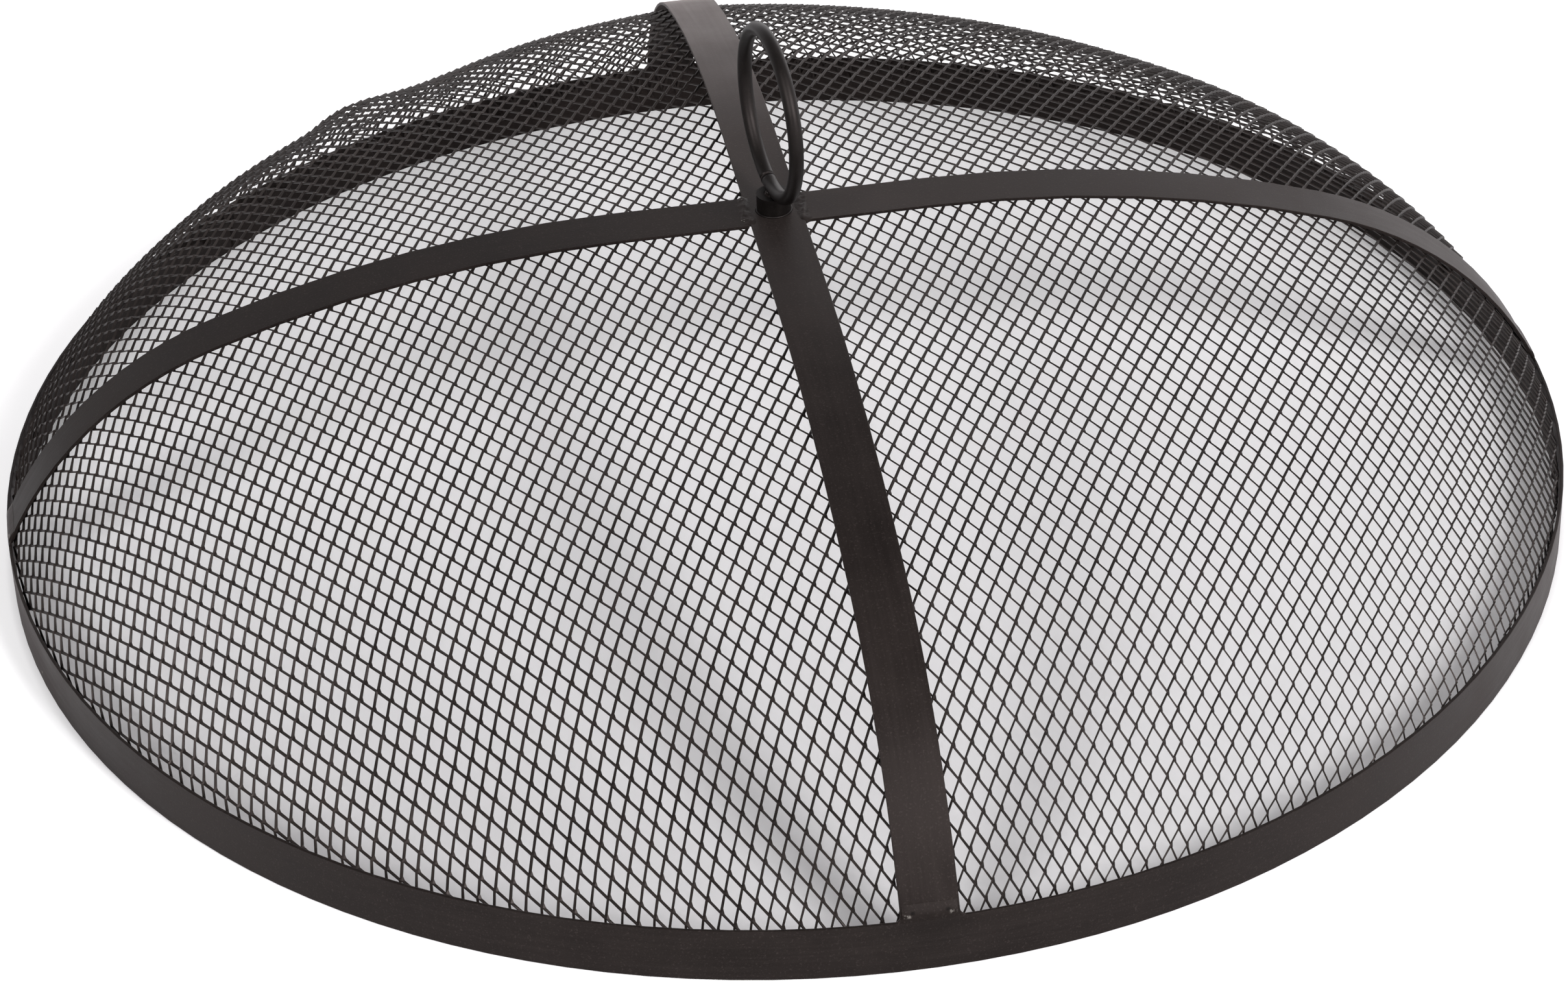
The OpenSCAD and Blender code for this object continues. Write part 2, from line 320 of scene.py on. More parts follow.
def floor_paint():
    """Plain white floor, a little greyer near the front of the ground that the screen covers, as painted
    shade. A faint glow that only the camera sees makes the open floor pure white and paints light on
    the covered floor towards the back, and reflections see it darker far to the left."""
    s = Shader("floor_white")
    axes = s.axes(s.place)
    # Painted shade: the covered floor greyer towards the front
    color = s.mix(s.ramp(axes["Y"], *FLOOR_SHADE_Y), FLOOR_FRONT_PAINTED_SHADE, FLOOR_BACK)
    reach = s.add("ShaderNodeVectorMath", operation="LENGTH")
    s.link(s.place, reach.inputs[0])
    open_floor = s.ramp(reach.outputs["Value"], *FLOOR_OPEN_R)
    color = s.mix(open_floor, color, FLOOR_OPEN)
    rays = s.add("ShaderNodeLightPath")
    far_left = s.times(s.ramp(axes["X"], *FLOOR_FAR_LEFT_X), rays.outputs["Is Glossy Ray"])
    color = s.mix(far_left, color, FLOOR_FAR_LEFT)
    # Painted light: a glow that only the camera sees on the covered floor, rising towards the back
    glow_back = s.ramp(axes["Y"], *FLOOR_GLOW_Y, out_high=FLOOR_GLOW_BACK)
    glow = s.math("MAXIMUM", glow_back, s.times(open_floor, FLOOR_GLOW_OPEN))
    glow = s.times(glow, rays.outputs["Is Camera Ray"])
    s.bsdf.inputs["Specular IOR Level"].default_value = 0.0
    s.link(color, s.bsdf.inputs["Base Color"])
    s.bsdf.inputs["Roughness"].default_value = 0.9
    s.bsdf.inputs["Emission Color"].default_value = (1, 1, 1, 1)
    s.link(glow, s.bsdf.inputs["Emission Strength"])
    return s.material


# The grain's scale is low along the bar and high across it.
ALONG, ACROSS = 14, 520
GRAIN_ALONG_X = (ALONG, ACROSS, ALONG)
GRAIN_ALONG_Y = (ACROSS, ALONG, ALONG)
GRAIN_ROUND_Z = (ALONG, ALONG, ACROSS)
GRAIN_EVEN = (ALONG, ALONG, ALONG)
# On the long strap the dust that grows towards the back and near the front foot is partly dust and
# partly painted light, standing in for a bright grazing reflection on the back part and a lighter foot.
PAINT_LONG = bar_paint("bar_paint_long", GRAIN_ALONG_Y, specular=0.11, sheen=0.10,
                       dust=(("Y", -0.24, -0.33, 0.0, 0.07), ("Y", -0.02, 0.26, 0.0, 0.38)))
PAINT_CROSS_LEFT = bar_paint("bar_paint_cross_left", GRAIN_ALONG_X, specular=0.07, sheen=0.03,
                             dust=(("X", -0.02, -0.14, 0.03, 0.0),))
PAINT_CROSS_RIGHT = bar_paint("bar_paint_cross_right", GRAIN_ALONG_X, specular=0.10, sheen=0.08,
                              dust=(("X", 0.05, 0.14, 0.09, 0.03),))
PAINT_HOOP = bar_paint("bar_paint_hoop", GRAIN_ROUND_Z, specular=0.11, sheen=0.08)
PAINT_MESH = mesh_paint()
PAINT_WELD = weld_paint("weld_paint", bare_from=0.54)
PAINT_SEAT = weld_paint("seat_weld_paint", bare_from=0.42)
PAINT_RING = ring_paint()
PAINT_FOOT = bar_paint("foot_weld_paint", GRAIN_EVEN, specular=0.10, sheen=0.08,
                       dust=(("Z", 0.02, 0.03, 0.02, 0.05),), marks=True)

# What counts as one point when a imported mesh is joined, and as a sharp edge when it is rounded
JOIN_DISTANCE = 0.002 * MM
SHARP_ANGLE = math.radians(40)


def dress(node, material, edge_r=0.0):
    """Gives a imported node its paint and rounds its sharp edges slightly, by modifiers only."""
    obj = NODES[node]
    obj.data.materials.clear()
    obj.data.materials.append(material)
    for polygon in obj.data.polygons:
        polygon.material_index = 0
    weld = obj.modifiers.new("joined", "WELD")
    weld.merge_threshold = JOIN_DISTANCE
    if edge_r:
        bevel = obj.modifiers.new("edges", "BEVEL")
        bevel.width = edge_r
        bevel.segments = 2
        bevel.limit_method = "ANGLE"
        bevel.angle_limit = SHARP_ANGLE
    normals = obj.modifiers.new("normals", "WEIGHTED_NORMAL")
    normals.keep_sharp = False


# --------------------------------------------------------------------------- expanded mesh
STRAND_PITCH = 7.5 * MM
STRAND_DIRECTIONS = (math.radians(60.4), math.radians(124.6))
# Shift of the strands from the crown's centre, in pitches
PHASE_A = -0.02
PHASE_B = 0.20
# Forming the sheet made its strands creep from even spacing. For each set of strands, left of the
# long strap and then right of it: the creep's shares of x, of x times y, of x squared and of the
# square of how far x lies past CREEP_SIDE, in pitches at the hoop. Behind CREEP_BACK y counts no
# further. Both places are shares of the hoop's radius.
STRAND_CREEP = (
    ((1.34, 1.93, 1.31, -8.02), (-0.49, 0.56, 3.02, -5.28)),
    ((-0.14, 0.22, -3.12, 3.09), (2.03, 0.47, -3.11, 4.67)),
)
CREEP_SIDE = 0.5
CREEP_BACK = 0.3
# A strand's section is a rectangle whose wide face is turned towards the right of the sheet, a
# little further in the first set of strands than in the second.
STRAND_FACE = 1.03 * MM
STRAND_EDGE = 0.76 * MM
STRAND_TURNS = (math.radians(56), math.radians(52))
MEAN_TURN = sum(STRAND_TURNS) / 2
FACE_RISE = STRAND_FACE * math.sin(MEAN_TURN)
EDGE_RISE = STRAND_EDGE * math.cos(MEAN_TURN)
HALF_THICK = FACE_RISE + EDGE_RISE / 2
# In pitches: how much of an opening's left corner is cut off, and the strands' random unevenness
CUT_CORNER = 0.17
STRAND_WOBBLE = 0.008
STRAND_SEED = 7
CORNERS = 5
MESH_DEPTH = STRAP_T + MESH_GAP + HALF_THICK
SAG_AT_STRAPS = 1.6 * MM
SAG_BETWEEN = 6.2 * MM
# Within these arc lengths of the hoop and of the crown the sag fades out.
HELD_BY_HOOP = 62 * MM
HELD_BY_CROWN = 150 * MM
# Slight waves: their height, and along x and along y the phase per metre and at the centre
UNEVEN = 0.5 * MM
WAVES_X = (31, 0.7)
WAVES_Y = (27, 1.9)
# A buckle in the far left quarter: one raised crease with a dip beside it
DIP_TURN = math.radians(117)
DIP_SPREAD = 0.13
DIP_FROM = 240 * MM
DIP_FULL = 320 * MM
DIP = 2.2 * MM
CREASE_TURN = math.radians(125)
CREASE_ARC = 352 * MM
CREASE_HALF_W = 21 * MM
CREASE_HALF_L = 42 * MM
CREASE_RISE = 4.6 * MM

# Bends of the mesh's middle surface, and the arc lengths from the crown outwards at which they change
SHEET_WIDE_R = WIDE_R - MESH_DEPTH
SHEET_SHOULDER_R = SHOULDER_R - MESH_DEPTH
WIDE_END = CROWN_FLAT + SHEET_WIDE_R * SHOULDER_SLOPE
SHOULDER_END = WIDE_END + SHEET_SHOULDER_R * (FOOT_SLOPE - SHOULDER_SLOPE)
HEM_R = HOOP_R - HOOP_T - HEM_GAP - HALF_THICK
SHOULDER_END_R = HOOP_R - FOOT_INSET - MESH_DEPTH * SIN_F
SHOULDER_END_Z = HOOP_H - MESH_DEPTH * COS_F
EDGE = SHOULDER_END + (HEM_R - SHOULDER_END_R) / COS_F
EDGE_Z = SHOULDER_END_Z - (HEM_R - SHOULDER_END_R) / COS_F * SIN_F
HEM_END = EDGE + EDGE_Z - HEM_BOTTOM_Z


def profile(arc):
    """Radius, height and slope of the mesh's middle surface at an arc length from the crown."""
    wide = np.clip((arc - CROWN_FLAT) / SHEET_WIDE_R, 0, SHOULDER_SLOPE)
    tight = np.clip((arc - WIDE_END) / SHEET_SHOULDER_R, 0, FOOT_SLOPE - SHOULDER_SLOPE)
    slope = wide + tight
    foot = np.clip(arc - SHOULDER_END, 0, EDGE - SHOULDER_END)
    hem = np.maximum(arc - EDGE, 0)
    radius = (np.minimum(arc, CROWN_FLAT) + SHEET_WIDE_R * np.sin(wide)
              + SHEET_SHOULDER_R * (np.sin(slope) - np.sin(wide)) + foot * COS_F)
    height = (CROWN_Z - MESH_DEPTH - SHEET_WIDE_R * (1 - np.cos(wide))
              - SHEET_SHOULDER_R * (np.cos(wide) - np.cos(slope)) - foot * SIN_F - hem)
    return radius, height, np.where(arc > EDGE, math.pi / 2, slope)


def steepness(radius):
    """Tangent of the dome's slope at a plan radius."""
    wide_stop = CROWN_FLAT + SHEET_WIDE_R * SIN_A
    sine = np.where(radius < wide_stop,
                    np.clip(radius - CROWN_FLAT, 0, None) / SHEET_WIDE_R,
                    SIN_A + (radius - wide_stop) / SHEET_SHOULDER_R)
    sine = np.clip(sine, 0, SIN_F)
    return sine / np.sqrt(1 - sine ** 2)


# Places from -1 to 1 and their weights, for adding up the arc length across the strands
QUADRATURE = np.polynomial.legendre.leggauss(28)
TINY = 1e-9


def unit(direction):
    return np.array([math.cos(direction), math.sin(direction)])


def strand_index(q, direction):
    """Which strand of one set lies at sheet place q. The sheet keeps its spacing over the ground it
    covers, so the index is the dome's arc length across the strands over the pitch."""
    arc = np.maximum(np.hypot(q[:, 0], q[:, 1]), TINY)
    outward = q / arc[:, None]
    radius = profile(np.minimum(arc, EDGE))[0]
    facing = outward @ unit(direction - math.pi / 2)
    across = radius * facing
    along = radius * (outward @ unit(direction))
    length = np.zeros(len(q))
    for place, weight in zip(*QUADRATURE):
        x = across * (place + 1) / 2
        here = np.maximum(np.hypot(x, along), TINY)
        length += weight / 2 * across * np.sqrt(1 + (steepness(here) * x / here) ** 2)
    length += np.sign(facing) * facing ** 2 * np.maximum(arc - EDGE, 0)
    return length / STRAND_PITCH


def creep(q, shares):
    """How far one set of strands has crept from even spacing at sheet places q, in pitches."""
    x = q[:, 0] / HOOP_R
    y = np.minimum(q[:, 1] / HOOP_R, CREEP_BACK)
    side = np.maximum(np.abs(x) - CREEP_SIDE, 0) ** 2
    left, right = (x * (of_x + of_xy * y + of_xx * x) + of_side * side
                   for of_x, of_xy, of_xx, of_side in shares)
    return np.where(x < 0, left, right)


def strand_indices(q):
    """Indices of both sets of strands at sheet places q."""
    return np.stack([strand_index(q, direction) - creep(q, shares)
                     for direction, shares in zip(STRAND_DIRECTIONS, STRAND_CREEP)], 1)


def sheet_places(a, b):
    """Sheet places at which the two sets of strands have the indices a and b, by Newton's method."""
    rounds, step, least_det = 7, 0.02 * MM, 1e-3
    farthest = 1.08 * HEM_END
    normals = np.array([unit(direction - math.pi / 2) for direction in STRAND_DIRECTIONS])
    q = np.linalg.solve(normals, np.stack([a, b]) * STRAND_PITCH).T
    for _ in range(rounds):
        arc = np.hypot(q[:, 0], q[:, 1])
        q *= np.minimum(1, farthest / np.maximum(arc, TINY))[:, None]
        f = strand_indices(q)
        dx = (strand_indices(q + [step, 0]) - f) / step
        dy = (strand_indices(q + [0, step]) - f) / step
        miss = np.stack([a, b], 1) - f
        det = dx[:, 0] * dy[:, 1] - dx[:, 1] * dy[:, 0]
        det = np.where(np.abs(det) < least_det, least_det, det)
        q += np.stack([(miss[:, 0] * dy[:, 1] - miss[:, 1] * dy[:, 0]) / det,
                       (dx[:, 0] * miss[:, 1] - dx[:, 1] * miss[:, 0]) / det], 1)
    return q


def smooth(t):
    """An eased step from 0 to 1 while t goes from 0 to 1."""
    t = np.clip(t, 0, 1)
    return t * t * (3 - 2 * t)


def sag(q):
    """How far the sheet hangs below its ideal surface: it is held at the crown, straps and hoop."""
    arc = np.hypot(q[:, 0], q[:, 1])
    turn = np.arctan2(q[:, 1], q[:, 0])
    free = smooth((EDGE - arc) / HELD_BY_HOOP) * smooth(arc / HELD_BY_CROWN)
    low = SAG_AT_STRAPS * np.sin(turn) ** 2
    low += SAG_BETWEEN * np.abs(np.sin(2 * turn)) * np.sqrt(np.abs(np.sin(turn)))
    wave_x = np.sin(q[:, 0] * WAVES_X[0] + WAVES_X[1])
    wave_y = np.sin(q[:, 1] * WAVES_Y[0] + WAVES_Y[1])
    low += UNEVEN * wave_x * wave_y * np.sin(2 * turn) ** 2
    dip = smooth((arc - DIP_FROM) / (DIP_FULL - DIP_FROM))
    low += DIP * np.exp(-((turn - DIP_TURN) / DIP_SPREAD) ** 2) * dip
    across = (turn - CREASE_TURN) * arc / CREASE_HALF_W
    out = (arc - CREASE_ARC) / CREASE_HALF_L
    low -= CREASE_RISE * np.exp(-across ** 2 - out ** 2)
    return free * np.maximum(low, 0)


def sheet_surface(q, lift):
    """Points in space at sheet places q, lifted off the sheet's middle."""
    arc = np.maximum(np.hypot(q[:, 0], q[:, 1]), TINY)
    outward = q / arc[:, None]
    radius, height, slope = profile(arc)
    off = lift - sag(q)
    flat = radius + off * np.sin(slope)
    return np.column_stack([outward * flat[:, None], height + off * np.cos(slope)])


def kept_crossings(i, j, size):
    """Which crossings of the strands the cut sheet has, as a square grid."""
    q = sheet_places(i, j)
    arc = np.hypot(q[:, 0], q[:, 1]).reshape(size, size)
    kept = arc < HEM_END
    # Strands in sight run on behind the hoop to their next knuckle, even where that lies past the hem.
    seen = arc < EDGE
    for step in (1, -1):
        kept |= np.roll(seen, step, 0) | np.roll(seen, step, 1)
    return kept


def opening_corners(i, j):
    """Corners of the opening to the right of each crossing: right, back, the two ends of its cut-off
    left corner, and front; first on the sheet's upper side, then on the underside."""
    rng = np.random.default_rng(STRAND_SEED)
    wobble = rng.normal(0, STRAND_WOBBLE, (CORNERS, 2, len(i)))
    # Stretching turns every strand, so its left side stands high and its right side low.
    lifts = (1.0, 0.0, -1.0, -1.0, 0.0)
    points = []
    for side, cut in ((1, (0.0, CUT_CORNER)), (-1, (CUT_CORNER / 2, CUT_CORNER / 2))):
        shift = [side * STRAND_EDGE * math.sin(turn) / 2 / STRAND_PITCH for turn in STRAND_TURNS]
        half = [STRAND_FACE * math.cos(turn) / 2 / STRAND_PITCH for turn in STRAND_TURNS]
        near_a, near_b = shift[0] + half[0], shift[1] + half[1]
        far_a, far_b = 1 + shift[0] - half[0], 1 + shift[1] - half[1]
        corners_a = (far_a, near_a, near_a + cut[0], near_a + cut[1], far_a)
        corners_b = (far_b, far_b, near_b + cut[1], near_b + cut[0], near_b)
        for corner_a, corner_b, raised, (off_a, off_b) in zip(corners_a, corners_b, lifts, wobble):
            q = sheet_places(i + corner_a + off_a, j + corner_b + off_b)
            lift = np.full(len(i), raised * FACE_RISE + side * EDGE_RISE / 2)
            points.append(sheet_surface(q, lift))
    return np.concatenate(points)


def upper_faces(kept, size):
    """Knuckles and strands between the openings' corners, on the sheet's upper side."""
    count = size * size
    grid = np.arange(count).reshape(size, size)
    right, back, left_back, left_front, front = (grid + k * count for k in range(CORNERS))
    here = (slice(1, -1), slice(1, -1))
    low_i = (slice(0, -2), slice(1, -1))
    low_j = (slice(1, -1), slice(0, -2))
    low_both = (slice(0, -2), slice(0, -2))
    next_i = (slice(2, None), slice(1, -1))
    next_j = (slice(1, -1), slice(2, None))
    knuckles = (left_front[here], left_back[here], front[low_i], right[low_both], back[low_j])
    strands_a = (left_back[here], back[here], right[low_i], front[low_i])
    strands_b = (back[low_j], right[low_j], front[here], left_front[here])
    faces = []
    for corners, shown in ((knuckles, kept[here]), (strands_a, kept[here] & kept[next_j]),
                           (strands_b, kept[here] & kept[next_i])):
        faces += np.stack(corners, -1)[shown].tolist()
    return faces


def expanded_mesh():
    """Every opening is a rhombus with its left corner cut off; strands and knuckles lie between."""
    reach = math.ceil(HEM_END / STRAND_PITCH) + 2
    size = 2 * reach
    i, j = np.meshgrid(np.arange(-reach, reach), np.arange(-reach, reach), indexing="ij")
    i, j = i.ravel() + PHASE_A, j.ravel() + PHASE_B
    points = opening_corners(i, j)
    top = upper_faces(kept_crossings(i, j, size), size)

    # Walls close the solid along every edge that only one face has. The underside has one point
    # under both ends of each cut, which its faces hold once.
    edges = {edge for face in top for edge in zip(face, face[1:] + face[:1])}
    open_edges = sorted(edge for edge in edges if edge[::-1] not in edges)
    total = len(points) // 2
    count = total // CORNERS
    under = np.arange(total) + total
    under[3 * count:4 * count] -= count
    under = under.tolist()
    walls = [list(dict.fromkeys((end, start, under[start], under[end]))) for start, end in open_edges]
    bottom = [list(dict.fromkeys(under[v] for v in reversed(face))) for face in top]
    faces = top + bottom + walls

    used = np.unique(np.concatenate(faces))
    renumber = np.full(2 * total, -1)
    renumber[used] = np.arange(len(used))
    mesh = bpy.data.meshes.new("spark_mesh")
    mesh.from_pydata(points[used].tolist(), [], [[int(renumber[v]) for v in face] for face in faces])
    mesh.update()
    return mesh


def face_outwards(mesh):
    """Turns a closed mesh's faces round if they look inwards."""
    shape = bmesh.new()
    shape.from_mesh(mesh)
    if shape.calc_volume(signed=True) < 0:
        bmesh.ops.reverse_faces(shape, faces=shape.faces)
        shape.to_mesh(mesh)
    shape.free()


spark_mesh = new_object("spark_mesh", expanded_mesh(), PAINT_MESH)
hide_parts("mesh_dome")
face_outwards(spark_mesh.data)

# --------------------------------------------------------------------------- bars, ring and collar
BAR_EDGE_R = 0.35 * MM
COLLAR_EDGE_R = 0.4 * MM
dress("long_strap", PAINT_LONG, BAR_EDGE_R)
dress("cross_strap_left", PAINT_CROSS_LEFT, BAR_EDGE_R)
dress("cross_strap_right", PAINT_CROSS_RIGHT, BAR_EDGE_R)
dress("rim_hoop", PAINT_HOOP, BAR_EDGE_R)
dress("ring_collar", PAINT_RING, COLLAR_EDGE_R)
dress("collar_weld", PAINT_RING)
dress("lifting_ring", PAINT_RING)
dress("ring_seam_weld", PAINT_WELD)
dress("hoop_seam_weld", PAINT_WELD)
dress("mesh_tack_welds", PAINT_WELD)


# --------------------------------------------------------------------------- weld metal
def lumps(u, v, seed, grain, height):
    """Uneven height of weld metal at a place on its surface: broad lumps with finer ones on them."""
    finer, other_seed = 2.7, seed + 7.3
    broad = noise.noise(Vector((u / grain, v / grain, seed)))
    fine = noise.noise(Vector((u / grain * finer, v / grain * finer, other_seed)))
    return height * (broad + 0.5 * fine)


def closed_patch(top, bottom, wide, tall):
    """Points and faces of a solid between two surfaces, each a function of u and v from -1 to 1."""
    grid = [(2 * c / (wide - 1) - 1, 2 * r / (tall - 1) - 1) for r in range(tall) for c in range(wide)]
    points = [top(u, v) for u, v in grid] + [bottom(u, v) for u, v in grid]
    under = len(grid)
    faces = []
    for r in range(tall - 1):
        for c in range(wide - 1):
            first = r * wide + c
            quad = (first, first + 1, first + wide + 1, first + wide)
            faces.append(quad)
            faces.append(tuple(under + k for k in reversed(quad)))
    rim = list(range(wide))
    rim += [r * wide + wide - 1 for r in range(1, tall)]
    rim += [(tall - 1) * wide + c for c in range(wide - 2, -1, -1)]
    rim += [r * wide for r in range(tall - 2, 0, -1)]
    for a, b in zip(rim, rim[1:] + rim[:1]):
        faces.append((b, a, a + under, b + under))
    return points, faces


def weld_object(name, node, material, *solids):
    """One piece of weld metal that stands for a packed weld; solids are pairs of points and faces."""
    points, faces = [], []
    for more_points, more_faces in solids:
        faces += [tuple(len(points) + k for k in face) for face in more_faces]
        points += more_points
    mesh = bpy.data.meshes.new(name)
    mesh.from_pydata(points, [], faces)
    for polygon in mesh.polygons:
        polygon.use_smooth = True
    mesh.update()
    obj = new_object(name, mesh, material)
    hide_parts(node)


def crown_patch(name, node, side, ears, seed):
    """Nearly flush patch over the joint beside the long strap. ears are how far the weld runs past the
    bars' front and back edges, where it fills the corner; below zero it leaves a notch."""
    middle_x = side * (STRAP_W + CROWN_GAP) / 2
    half_w, ear_w, inset = 4.3 * MM, 1.3 * MM, 0.3 * MM
    crown, sunk, depth = 0.22 * MM, 0.10 * MM, 1.4 * MM
    ridge_h, ridge_w, ridge_x, ridge_lean = 0.45 * MM, 0.8 * MM, side * 1.2 * MM, 0.25
    grain, lump_h = 4.6 * MM, 0.30 * MM

    def plan(u, v):
        x = u * half_w
        outward = x * side / ear_w
        fade = math.exp(-outward) if outward > 0 else math.exp(-outward ** 2)
        reach = STRAP_W / 2 - inset + ears[0 if v < 0 else 1] * fade
        return x, v * reach

    def top(u, v):
        x, y = plan(u, v)
        full = (1 - u * u) ** 1.5 * (1 - v ** 12)
        ridge = ridge_h * math.exp(-((x - ridge_lean * y - ridge_x) / ridge_w) ** 2)
        z = (crown + sunk) * full - sunk + full * (ridge + lumps(x, y, seed, grain, lump_h))
        return middle_x + x, y, CROWN_Z + z

    def bottom(u, v):
        x, y = plan(u, v)
        return middle_x + x, y, CROWN_Z - depth

    weld_object(name, node, PAINT_WELD, closed_patch(top, bottom, wide=21, tall=61))


def foot_weld(name, node, turn, seed):
    """Weld at a strap's foot: ground flush over the joint's middle, with a fillet at each corner."""
    outward = Vector((math.cos(turn), math.sin(turn), 0))
    sideways = Vector((-math.sin(turn), math.cos(turn), 0))
    lean = COS_F / SIN_F
    half_w, below, above = 12.4 * MM, 1.6 * MM, 7.0 * MM
    sunk, rim_sunk, depth = 0.07 * MM, 0.25 * MM, 1.1 * MM
    grain, lump_h = 2.4 * MM, 0.07 * MM
    fillet_r, fillet_sunk, overlap, left_open = 2.5 * MM, 0.1 * MM, 0.3 * MM, 0.1

    def place(w, h, r):
        return outward * r + sideways * w + Vector((0, 0, HOOP_H + h))

    def top(u, v):
        w = u * half_w
        h = (below + above) * (v + 1) / 2 - below
        hoop_face = math.sqrt(HOOP_R ** 2 - w ** 2)
        strap_face = HOOP_R - FOOT_INSET - h * lean
        t = float(smooth((v + 1) / 2))
        full = (1 - u ** 8) * (1 - v ** 8)
        r = (1 - t) * hoop_face + t * strap_face
        r += full * min(lumps(w, h, seed, grain, lump_h), 0) - sunk - (1 - full) * rim_sunk
        return place(w, h, r)

    def bottom(u, v):
        return top(u, v) - outward * depth

    def fillet(side, back):
        """Face of one corner's fillet; side is -1 or 1, and back is how far in the face lies."""
        def face(u, v):
            # u runs along the concave arc, v from the arc to just short of the corner it fills
            angle = math.radians(90) * (u + 1) / 2
            arc_w = fillet_r * (1 - math.sin(angle))
            arc_h = fillet_r * (1 - math.cos(angle))
            keep = left_open + (1 - left_open) * (1 - v) / 2
            w = STRAP_W / 2 - overlap + keep * (arc_w + overlap)
            h = -overlap + keep * (arc_h + overlap)
            r = HOOP_R - FOOT_INSET - fillet_sunk - max(h, 0) * lean - back
            return place(side * w, h, r)
        return face

    # Seen from the same side, one fillet is the other's mirror image, so its faces swap places.
    solids = (closed_patch(top, bottom, wide=41, tall=15),
              closed_patch(fillet(-1, depth), fillet(-1, 0), wide=9, tall=5),
              closed_patch(fillet(1, 0), fillet(1, depth), wide=9, tall=5))
    weld_object(name, node, PAINT_FOOT, *solids)


def seat_weld(name, node):
    """Lumpy weld in the collar's mouth, round the ring's lowest stretch."""
    mouth_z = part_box("ring_collar")[1].z
    mouth_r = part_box("ring_seat_weld")[1].x - 0.05 * MM
    rim_sunk, mound_h, depth = 0.3 * MM, 1.1 * MM, 3 * MM
    seed, grain, lump_h = 4.1, 1.5 * MM, 0.55 * MM

    def plan(u, v):
        return mouth_r * u * math.sqrt(1 - v * v / 2), mouth_r * v * math.sqrt(1 - u * u / 2)

    def top(u, v):
        x, y = plan(u, v)
        mound = 1.0 - (x * x + y * y) / mouth_r ** 2
        z = mouth_z - rim_sunk + mound_h * mound + lumps(x, y, seed, grain, lump_h)
        return x, y, z

    def bottom(u, v):
        x, y = plan(u, v)
        return x, y, mouth_z - depth

    weld_object(name, node, PAINT_SEAT, closed_patch(top, bottom, wide=25, tall=25))


crown_patch("crown_patch_left", "crown_weld_left", side=-1, ears=(-1.5 * MM, 2.4 * MM), seed=2.3)
crown_patch("crown_patch_right", "crown_weld_right", side=1, ears=(1.8 * MM, 1.6 * MM), seed=9.1)
foot_weld("foot_weld_front", "strap_weld_front", turn=math.radians(-90), seed=1.7)
foot_weld("foot_weld_back", "strap_weld_back", turn=math.radians(90), seed=3.9)
foot_weld("foot_weld_left", "strap_weld_left", turn=math.radians(180), seed=5.2)
foot_weld("foot_weld_right", "strap_weld_right", turn=0.0, seed=8.4)
seat_weld("collar_mouth_weld", "ring_seat_weld")

# --------------------------------------------------------------------------- floor, light and camera
FLOOR_R = 6.0
FLOOR_DROP = 0.2 * MM
# Brightness of the room along each axis: direction cosine from and to, strength there
WORLD_SLOPES = (
    ("Z", 0.05, 0.50, 1.75, 0.46),
    ("Y", -0.40, 0.80, 0.42, 1.35),
    ("X", -0.60, 0.60, 0.42, 1.30),
)
WORLD_COLOR = (1.0, 0.985, 1.0, 1)
# Square lamps that face the screen: name, place, side and watts
LAMPS = (
    ("key", (2.85, -4.85, 4.15), 1.75, 405),
    ("fill", (-3.75, -4.36, 3.97), 2.1, 270),
)
LAMP_TARGET = (0, 0, 0.05)


def make_floor():
    mesh = bpy.data.meshes.new("floor")
    shape = bmesh.new()
    bmesh.ops.create_circle(shape, cap_ends=True, segments=96, radius=FLOOR_R)
    shape.to_mesh(mesh)
    shape.free()
    mesh.materials.append(floor_paint())
    obj = bpy.data.objects.new("floor", mesh)
    bpy.context.scene.collection.objects.link(obj)
    obj.location.z = -FLOOR_DROP


def make_lamp(name, place, size, watts):
    data = bpy.data.lights.new(name, "AREA")
    data.shape = "SQUARE"
    data.size = size
    data.energy = watts
    obj = bpy.data.objects.new(name, data)
    obj.location = place
    obj.rotation_euler = (Vector(LAMP_TARGET) - Vector(place)).to_track_quat("-Z", "Y").to_euler()
    bpy.context.scene.collection.objects.link(obj)


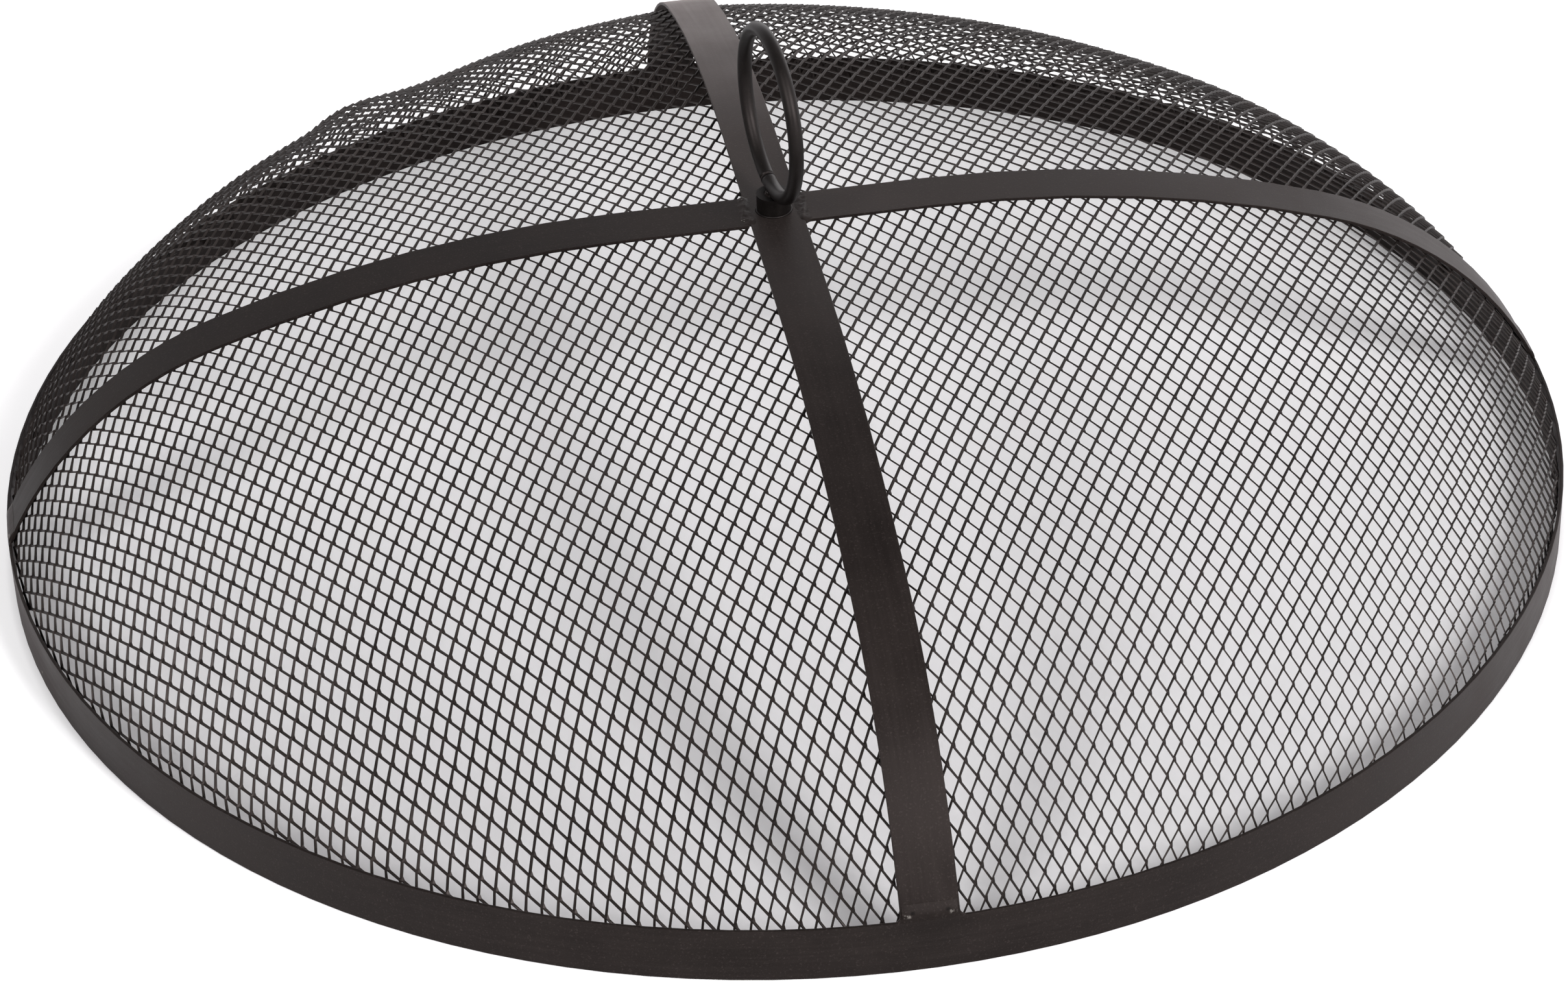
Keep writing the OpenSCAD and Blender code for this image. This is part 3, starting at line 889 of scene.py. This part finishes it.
def make_world():
    """A room that is brighter low down, behind the object and to its right, and white to the camera."""
    world = bpy.data.worlds.new("studio")
    bpy.context.scene.world = world
    world.use_nodes = True
    tree = world.node_tree
    background = tree.nodes["Background"]
    place = tree.nodes.new("ShaderNodeTexCoord")
    split = tree.nodes.new("ShaderNodeSeparateXYZ")
    tree.links.new(place.outputs["Generated"], split.inputs["Vector"])
    strength = None
    for axis, start, end, at_start, at_end in WORLD_SLOPES:
        slope = tree.nodes.new("ShaderNodeMapRange")
        tree.links.new(split.outputs[axis], slope.inputs["Value"])
        slope.inputs["From Min"].default_value = start
        slope.inputs["From Max"].default_value = end
        slope.inputs["To Min"].default_value = at_start
        slope.inputs["To Max"].default_value = at_end
        if strength is None:
            strength = slope.outputs["Result"]
            continue
        product = tree.nodes.new("ShaderNodeMath")
        product.operation = "MULTIPLY"
        tree.links.new(strength, product.inputs[0])
        tree.links.new(slope.outputs["Result"], product.inputs[1])
        strength = product.outputs["Value"]
    rays = tree.nodes.new("ShaderNodeLightPath")
    backdrop = tree.nodes.new("ShaderNodeMix")
    tree.links.new(rays.outputs["Is Camera Ray"], backdrop.inputs["Factor"])
    tree.links.new(strength, backdrop.inputs["A"])
    backdrop.inputs["B"].default_value = 1.0
    tree.links.new(backdrop.outputs["Result"], background.inputs["Strength"])
    background.inputs["Color"].default_value = WORLD_COLOR


# Camera fitted to the photograph: its focal length, its distance from the hoop's centre and its
# elevation there, its turn from the long strap's plane, and the small pan, tilt and roll of the frame
IMAGE_W_PX = 2417
FOCAL_PX = 7186.25
CAMERA_DISTANCE = 2.31694
CAMERA_ELEVATION = math.radians(34.2965)
CAMERA_TURN = 0.1455
CAMERA_PAN = -2.029e-4
CAMERA_TILT = 2.220e-3
CAMERA_ROLL = 3.9169e-2
SENSOR_W_MM = 36
NEAREST, FARTHEST = 0.05, 50


def make_camera():
    data = bpy.data.cameras.new("camera")
    data.sensor_fit = "HORIZONTAL"
    data.sensor_width = SENSOR_W_MM
    data.lens = FOCAL_PX / IMAGE_W_PX * SENSOR_W_MM
    data.clip_start, data.clip_end = NEAREST, FARTHEST
    place = Vector((0, -math.cos(CAMERA_ELEVATION), math.sin(CAMERA_ELEVATION))) * CAMERA_DISTANCE
    forward = -place.normalized()
    right = Vector((1, 0, 0))
    up = right.cross(forward)
    to_camera = (Matrix.Rotation(CAMERA_ROLL, 3, "Z") @ Matrix.Rotation(CAMERA_TILT, 3, "X")
                 @ Matrix.Rotation(CAMERA_PAN, 3, "Y") @ Matrix((right, up, -forward)))
    turn = Matrix.Rotation(CAMERA_TURN, 3, "Z")
    matrix = (to_camera @ turn).transposed().to_4x4()
    matrix.translation = turn.transposed() @ place
    obj = bpy.data.objects.new("camera", data)
    obj.matrix_world = matrix
    bpy.context.scene.collection.objects.link(obj)
    bpy.context.scene.camera = obj


make_floor()
make_world()
for lamp in LAMPS:
    make_lamp(*lamp)
make_camera()
bpy.context.scene.view_settings.view_transform = "Standard"

bpy.context.view_layer.update()
